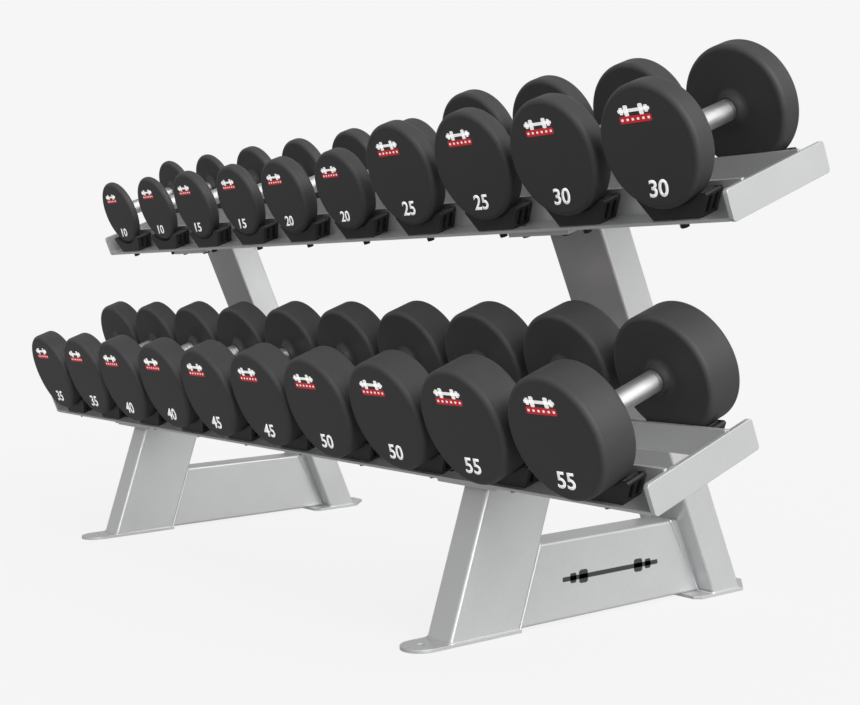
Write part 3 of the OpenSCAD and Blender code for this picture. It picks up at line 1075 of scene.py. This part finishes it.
@dataclass
class Head:
    """One round urethane head with its hub, about Z, with its inner face on z = 0."""

    radius: float
    thickness: float
    rim: float = 8.5 * MM
    hub_root_r: float = 33 * MM
    hub_tip_r: float = 22 * MM
    hub_len: float = 13 * MM
    bore_r: float = 17.6 * MM
    bore_depth: float = 5 * MM
    ring_inset: float = 1.2 * MM
    ring_w: float = 1.1 * MM
    ring_d: float = 0.35 * MM
    seam_inset: float = 12 * MM
    seam_w: float = 0.9 * MM
    sides: int = 112
    flare_steps: int = 6

    def build(self, name: str) -> bpy.types.Object:
        """Models the head.

        Args:
            name: The piece's name.

        Returns:
            The head, outer face up.
        """
        head = Bench.rod(name, self.radius, self.thickness, self.sides)
        with Bench.editing(head):
            Bench.pick_edges(head, lambda a, b: abs(a.z - b.z) < EPS)
            bpy.ops.mesh.bevel(offset=self.rim, segments=8, profile=0.5, affect="EDGES")
            self.ring_line(head)
            self.seam(head)
            self.hub(head)
        self.mark_rim(head)
        Bench.smooth(head)
        return head

    def ring_line(self, head: bpy.types.Object) -> None:
        """Presses a shallow ring into the outer face, beside the rim."""
        Bench.pick_faces(
            head, lambda middle, normal: normal.z > 0.999 and middle.xy.length < EPS
        )
        bpy.ops.mesh.inset(thickness=self.ring_inset)
        bpy.ops.mesh.inset(thickness=self.ring_w, depth=-self.ring_d)
        bpy.ops.mesh.inset(thickness=self.ring_w, depth=self.ring_d)

    def seam(self, head: bpy.types.Object) -> None:
        """Cuts the mould's parting line round the side."""
        z = self.thickness - self.seam_inset
        bpy.ops.mesh.select_all(action="SELECT")
        bpy.ops.mesh.bisect(plane_co=(0, 0, z), plane_no=(0, 0, 1))

        def on_seam(a: Vector, b: Vector) -> bool:
            """Tells whether an edge lies on the seam."""
            return abs(a.z - z) < EPS and abs(b.z - z) < EPS

        Bench.pick_edges(head, on_seam)
        bpy.ops.mesh.bevel(offset=self.seam_w, segments=2, affect="EDGES")
        Bench.pick_edges(head, on_seam)
        shrink = 1 - self.ring_d / self.radius
        bpy.ops.transform.resize(value=(shrink, shrink, 1), center_override=(0, 0, z))

    def hub(self, head: bpy.types.Object) -> None:
        """Draws the flared hub out of the inner face and bores it for the grip."""
        Bench.pick_faces(
            head, lambda middle, normal: normal.z < -0.999 and middle.xy.length < EPS
        )
        bpy.ops.mesh.inset(thickness=self.radius - self.rim - self.hub_root_r)
        flare = self.hub_root_r - self.hub_tip_r
        radius, depth = self.hub_root_r, 0.0
        for step in range(1, self.flare_steps + 1):
            a = math.pi / 2 * step / self.flare_steps
            new_radius = self.hub_root_r - flare * math.sin(a)
            new_depth = flare * (1 - math.cos(a))
            drop = new_depth - depth
            Bench.extrude((0, 0, -drop), new_radius / radius, (0, 0, -new_depth))
            radius, depth = new_radius, new_depth
        Bench.extrude((0, 0, -(self.hub_len - depth - MM)))
        Bench.extrude((0, 0, -MM), 1 - MM / radius, (0, 0, -self.hub_len))
        bpy.ops.mesh.inset(thickness=radius - MM - self.bore_r)
        Bench.extrude((0, 0, self.hub_len + self.bore_depth))

    def mark_rim(self, head: bpy.types.Object) -> None:
        """Stores how close each point is to the outer rims, where hands rub and where a painted
        sheen lightens them.
        """
        worn = head.data.attributes.new("rim", "FLOAT", "POINT")
        for vertex, value in zip(head.data.vertices, worn.data):
            out = (vertex.co.xy.length - (self.radius - self.rim)) / self.rim
            edge = min(vertex.co.z, self.thickness - vertex.co.z) / self.rim
            value.value = max(0.0, min(1.0, out)) * max(0.0, min(1.0, 1.0 - edge))


@dataclass
class Grip:
    """The steel handle between two heads, about Z, with its middle on z = 0."""

    gap: float
    radius: float = 17.5 * MM
    hub_len: float = 13 * MM
    band: float = 6 * MM
    groove_w: float = 1.4 * MM
    groove_d: float = 0.9 * MM
    step: float = 0.3 * MM
    root: float = 4 * MM
    sides: int = 64

    def build(self, name: str) -> bpy.types.Object:
        """Models the grip: a knurled middle, a groove and a plain band at each end.

        Args:
            name: The piece's name.

        Returns:
            The grip.
        """
        clear = self.gap / 2 - self.hub_len
        knurled = clear - self.band - self.groove_w
        grip = Bench.rod(name, self.radius, 2 * knurled, self.sides)
        grip.data.transform(Matrix.Translation((0, 0, -knurled)))
        thin = (self.radius - self.groove_d) / self.radius
        with Bench.editing(grip):
            for way in (1, -1):
                Bench.pick_faces(grip, lambda middle, normal: normal.z * way > 0.999)
                Bench.extrude((0, 0, way * self.step), thin, (0, 0, way * knurled))
                Bench.extrude((0, 0, way * (self.groove_w - 2 * self.step)))
                Bench.extrude((0, 0, way * self.step), 1 / thin, (0, 0, way * knurled))
                Bench.extrude((0, 0, way * (self.band + self.hub_len + self.root)))
        Bench.paint(grip, KNURLED_CHROME.material(), CHROME.material())
        for face in grip.data.polygons:
            face.material_index = 0 if abs(face.center.z) < knurled - EPS else 1
        Bench.smooth(grip)
        return grip


@dataclass
class Labels:
    """The weight and a plain pictogram, as thin ink on the outer faces of a dumbbell."""

    ink: float = 0.25 * MM
    slant: float = 0.16
    weight_line: float = 0.018

    def number(self, weight: int, width: float, height: float) -> bpy.types.Object:
        """Writes the weight about the origin, in the XY plane.

        Args:
            weight: The number.
            width: Its width.
            height: The height of its digits.

        Returns:
            The number, as a mesh.
        """
        Bench.clear()
        bpy.ops.object.text_add()
        text = bpy.context.object
        text.data.body = str(weight)
        text.data.offset = self.weight_line
        text.data.shear = self.slant
        text.data.resolution_u = 4
        bpy.ops.object.convert(target="MESH")
        piece = bpy.context.object
        xs = [v.co.x for v in piece.data.vertices]
        ys = [v.co.y for v in piece.data.vertices]
        middle = Vector(((min(xs) + max(xs)) / 2, (min(ys) + max(ys)) / 2, 0))
        size = (width / (max(xs) - min(xs)), height / (max(ys) - min(ys)), 1, 1)
        piece.data.transform(Matrix.Diagonal(size) @ Matrix.Translation(-middle))
        Bench.modify(piece, "SOLIDIFY", thickness=2 * self.ink, offset=0.0)
        return piece

    def bar(self, width: float, height: float, x: float, y: float) -> bpy.types.Object:
        """Returns one flat bar of ink with eased corners."""
        block = Bench.block("ink", (width, height, 2 * self.ink), (x, y, 0))
        with Bench.editing(block):
            Bench.pick_edges(block, lambda a, b: (a.xy - b.xy).length < EPS)
            bpy.ops.mesh.bevel(offset=min(width, height) * 0.25, segments=3, affect="EDGES")
        return block

    def barbell(self, length: float, bar_h: float, plates: tuple,
                scale: float = 1.0) -> list[bpy.types.Object]:
        """Draws a plain barbell about the origin.

        Args:
            length: Its length.
            bar_h: The height of its bar.
            plates: The near side, the far side and the height of each plate of one end.
            scale: What all of these are multiplied by.

        Returns:
            The bars of ink.
        """
        bars = [self.bar(scale * length, scale * bar_h, 0, 0)]
        for near, far, height in plates:
            for way in (1, -1):
                x = scale * way * (near + far) / 2
                bars.append(self.bar(scale * (far - near), scale * height, x, 0))
        return bars


@dataclass(frozen=True)
class LabelSize:
    """The sizes of a head's label and where its parts sit, from the middle of the head."""

    number: tuple[float, float]
    number_at: tuple[float, float]
    mark_at: tuple[float, float]
    band_y: float
    scale: float = 1.0
    mark_w: float = 66 * MM
    bar_h: float = 5 * MM
    plates: tuple = ((11 * MM, 20 * MM, 16.5 * MM), (22.5 * MM, 29.5 * MM, 11 * MM))
    band_h: float = 11 * MM
    dashes: int = 6
    dash: tuple[float, float] = (4.6 * MM, 3.6 * MM)
    dash_lift: float = 0.1 * MM


LARGE_LABEL = LabelSize(
    (42 * MM, 27.5 * MM), (0.5 * MM, -63 * MM), (-7 * MM, 58.5 * MM), 44.8 * MM,
)
SMALL_LABEL = LabelSize(
    (34 * MM, 22 * MM), (-5 * MM, -51.5 * MM), (-9 * MM, 44.5 * MM), 33.6 * MM, scale=0.84,
)


@dataclass
class Dumbbells:
    """All dumbbells of the rack: one model for each weight, copied to its places."""

    handle_gap: float = 154 * MM
    rim: float = 8.5 * MM
    first: dict = field(default_factory=lambda: {Level.LOWER: 35, Level.UPPER: 10})
    step: int = 5
    small_up_to: int = 20
    labels: Labels = field(default_factory=Labels)

    def build(self, tiers: list[Tier]) -> None:
        """Builds every dumbbell of every tier.

        Args:
            tiers: The tiers that carry them.
        """
        grip = Grip(self.handle_gap).build("grip")
        grip.data.transform(Matrix.Rotation(-math.pi / 2, 4, "X"))
        for tier in tiers:
            for first_of_pair in range(1, len(tier.x_places) + 1, 2):
                weight = self.first[tier.level] + self.step * (first_of_pair // 2)
                self.pair(tier, first_of_pair, weight, grip)
        bpy.data.objects.remove(grip)

    def pair(self, tier: Tier, first: int, weight: int, grip: bpy.types.Object) -> None:
        """Models one weight and puts it in its two places.

        Args:
            tier: The tier that carries the pair.
            first: The first of the two places, counted from 1.
            weight: The weight on the labels.
            grip: The model of the grip.
        """
        low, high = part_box(heads_node(tier.level, first))
        radius = (high.x - low.x) / 2
        span = self.length_of(high.y - low.y, radius, tier.tilt)
        thickness = (span - self.handle_gap) / 2
        heads, labels = self.both_heads(radius, thickness), self.both_labels(weight, span)
        for place in (first, first + 1):
            node = heads_node(tier.level, place)
            low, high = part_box(node)
            where = Matrix.Translation((low + high) / 2) @ Matrix.Rotation(tier.tilt, 4, "X")
            stem = node.removesuffix("_heads")
            body = f"{stem}_dumbbell"
            for model, part, slot, stands_for in (
                (heads, "urethane_heads", Slot.HEAD, (node,)),
                (grip, "knurled_grip", Slot.BAR, (f"{stem}_bar",)),
                (labels, "labels", None, ()),
            ):
                piece = Bench.copy(model, f"{stem}_{part}", where)
                Bench.seat(piece, body, slot, *stands_for)
        bpy.data.objects.remove(heads)
        bpy.data.objects.remove(labels)

    def length_of(self, depth_y: float, radius: float, tilt: float) -> float:
        """Returns a dumbbell's length from its leaning box, given its round rims."""
        core = depth_y - 2 * self.rim - 2 * (radius - self.rim) * math.sin(tilt)
        return core / math.cos(tilt) + 2 * self.rim

    def both_heads(self, radius: float, thickness: float) -> bpy.types.Object:
        """Returns the two heads of a dumbbell, in the tier's directions about its middle."""
        head = Head(radius, thickness, self.rim).build("head")
        Bench.paint(head, URETHANE.material())
        lift = Matrix.Translation((0, 0, self.handle_gap / 2))
        along = Matrix.Rotation(-math.pi / 2, 4, "X")
        rear = Bench.copy(head, "rear_head", along @ lift)
        front = Bench.copy(head, "front_head", along @ Matrix.Rotation(math.pi, 4, "X") @ lift)
        bpy.data.objects.remove(head)
        return Bench.join("heads", [front, rear])

    def both_labels(self, weight: int, span: float) -> bpy.types.Object:
        """Returns the labels of both outer faces, in the tier's directions.

        Args:
            weight: The number to write.
            span: The dumbbell's length.

        Returns:
            The labels as one piece.
        """
        size = SMALL_LABEL if weight <= self.small_up_to else LARGE_LABEL
        number = self.labels.number(weight, *size.number)
        number.data.transform(Matrix.Translation((*size.number_at, 0)))
        icon = self.labels.barbell(size.mark_w, size.bar_h, size.plates, size.scale)
        for bar in icon:
            bar.data.transform(Matrix.Translation((*size.mark_at, 0)))
        band = (size.mark_at[0], size.band_y)
        width = size.scale * size.mark_w
        for i in range(size.dashes):
            x = band[0] + width * ((i + 0.5) / size.dashes - 0.5)
            dash = self.labels.bar(size.scale * size.dash[0], size.scale * size.dash[1], x, band[1])
            dash.data.transform(Matrix.Translation((0, 0, size.dash_lift)))
            icon.append(dash)
        white = Bench.join("white", [number, *icon])
        # The white and red print glows faintly: painted light on top of the ink's own colour.
        Bench.paint(white, WHITE_INK_WITH_PAINTED_GLOW.material())
        red = self.labels.bar(width, size.scale * size.band_h, *band)
        Bench.paint(red, RED_INK_WITH_PAINTED_GLOW.material())
        label = Bench.join("label", [white, red])
        upright = Matrix.Translation((0, -span / 2, 0)) @ Matrix.Rotation(math.pi / 2, 4, "X")
        front = Bench.copy(label, "front", upright)
        rear = Bench.copy(label, "rear", Matrix.Rotation(math.pi, 4, "Z") @ upright)
        bpy.data.objects.remove(label)
        return Bench.join("labels", [front, rear])


@dataclass
class BeamMarks:
    """A plain barbell drawn in dark ink on the outer side of each cross beam."""

    middle_z: float = 74 * MM
    middle_share: float = 0.49
    length: float = 222 * MM
    bar_h: float = 8 * MM
    plates: tuple = ((54 * MM, 74 * MM, 23 * MM), (80 * MM, 94 * MM, 17 * MM))

    def build(self) -> None:
        """Draws both marks."""
        for side in Side:
            low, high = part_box(side.node("cross_beam"))
            bars = Labels().barbell(self.length, self.bar_h, self.plates)
            icon = Bench.join(side.node("beam_mark"), bars)
            turn = Matrix.Rotation(math.pi / 2, 4, "Z") @ Matrix.Rotation(math.pi / 2, 4, "X")
            if side is Side.LEFT:
                turn = Matrix.Rotation(math.pi, 4, "Z") @ turn
            x = high.x if side is Side.RIGHT else low.x
            y = low.y + (high.y - low.y) * self.middle_share
            icon.data.transform(Matrix.Translation((x, y, self.middle_z)) @ turn)
            Bench.paint(icon, GREY_INK.material())
            Bench.seat(icon, RACK, None)


# ---- Studio ----


@dataclass(frozen=True)
class Lamp:
    """A broad light that lies far off in a direction, with its width in degrees."""

    name: str
    strength: float
    spread: float
    towards: tuple[float, float, float]


@dataclass
class Studio:
    """A pale floor, soft light and the camera."""

    eye: tuple = (2.5345, -1.6544, 0.6150)
    yaw: float = 0.94991
    pitch: float = 0.06151
    roll: float = -0.02983
    lens: float = 60.77
    backdrop: float = 0.921
    ambient: float = 0.5
    bounce: float = 0.26
    floor_albedo: float = 0.08
    lamps: tuple[Lamp, ...] = (
        Lamp("key", 3.5, 60.0, (0.9, 0.0, 0.42)),
        Lamp("fill", 0.35, 70.0, (0.5, -0.8, 0.4)),
    )

    def build(self) -> None:
        """Sets the floor, the lights, the world and the camera."""
        bpy.context.scene.view_settings.view_transform = "Standard"
        self.floor()
        self.world()
        for lamp in self.lamps:
            self.hang(lamp)
        self.camera()

    def floor(self) -> None:
        """Lays a pale floor that meets the surround without a line.

        The floor takes only part of its brightness from the lights, so that the rack's shadow
        stays faint, and it throws less light back at the rack than the camera sees.
        """
        Bench.clear()
        bpy.ops.mesh.primitive_plane_add(size=60.0)
        floor = Bench.settle("studio_floor")
        paint = bpy.data.materials.new("pale_floor")
        paint.use_nodes = True
        sheet = NodeSheet(paint.node_tree)
        lit = self.ambient + sum(
            lamp.strength * Vector(lamp.towards).normalized().z / math.pi for lamp in self.lamps
        )
        albedo, glow = self.floor_albedo, self.backdrop - self.floor_albedo * lit
        matt = sheet.add("ShaderNodeBsdfDiffuse", Color=(albedo, albedo, albedo, 1.0))
        seen = sheet.add("ShaderNodeLightPath").outputs["Is Camera Ray"]
        strength = sheet.math("MULTIPLY_ADD", seen, glow - self.bounce, self.bounce)
        shine = sheet.add("ShaderNodeEmission", Color=(1, 1, 1, 1), Strength=strength)
        both = sheet.add("ShaderNodeAddShader", i0=matt.outputs[0], i1=shine.outputs[0])
        sheet.add("ShaderNodeOutputMaterial", Surface=both.outputs[0])
        Bench.paint(floor, paint)

    def world(self) -> None:
        """Makes the pale surround: bright to look at, softer as a light."""
        world = bpy.data.worlds.new("studio")
        bpy.context.scene.world = world
        world.use_nodes = True
        sheet = NodeSheet(world.node_tree)
        seen = sheet.add("ShaderNodeLightPath").outputs["Is Camera Ray"]
        shine = sheet.add(
            "ShaderNodeBackground", Color=(1, 1, 1, 1), Strength=self.ambient
        )
        view = sheet.add("ShaderNodeBackground", Color=(1, 1, 1, 1), Strength=self.backdrop)
        both = sheet.add("ShaderNodeMixShader", i0=seen, i1=shine.outputs[0], i2=view.outputs[0])
        sheet.add("ShaderNodeOutputWorld", Surface=both.outputs[0])

    def hang(self, lamp: Lamp) -> None:
        """Hangs a broad soft light."""
        light = bpy.data.lights.new(lamp.name, "SUN")
        light.energy = lamp.strength
        light.angle = math.radians(lamp.spread)
        holder = bpy.data.objects.new(lamp.name, light)
        holder.rotation_euler = Vector(lamp.towards).to_track_quat("Z", "Y").to_euler()
        bpy.context.scene.collection.objects.link(holder)

    def camera(self) -> None:
        """Sets the camera where the rack is seen from."""
        cos_p, sin_p = math.cos(self.pitch), math.sin(self.pitch)
        ahead = Vector((-math.sin(self.yaw) * cos_p, math.cos(self.yaw) * cos_p, -sin_p))
        right = Vector((math.cos(self.yaw), math.sin(self.yaw), 0))
        up = right.cross(ahead)
        cos_r, sin_r = math.cos(self.roll), math.sin(self.roll)
        x_axis = cos_r * right + sin_r * up
        y_axis = cos_r * up - sin_r * right
        data = bpy.data.cameras.new("camera")
        data.lens = self.lens
        data.sensor_width = 36.0
        camera = bpy.data.objects.new("camera", data)
        turn = Matrix((x_axis, y_axis, -ahead)).transposed().to_4x4()
        camera.matrix_world = Matrix.Translation(self.eye) @ turn
        bpy.context.scene.collection.objects.link(camera)
        bpy.context.scene.camera = camera


def main() -> None:
    """Builds the rack piece by piece; each seated piece's face count is logged."""
    logging.basicConfig(level=logging.INFO, format="%(name)s: %(message)s")
    rail_t = 5 * MM
    tiers = [read_tier(level, rail_t) for level in Level]
    Steelwork().build()
    Welds().build(tiers)
    Saddles(rail_t).build(tiers)
    Bolts(rail_t).build(tiers)
    Dumbbells().build(tiers)
    BeamMarks().build()
    Studio().build()


if __name__ == "__main__":
    main()
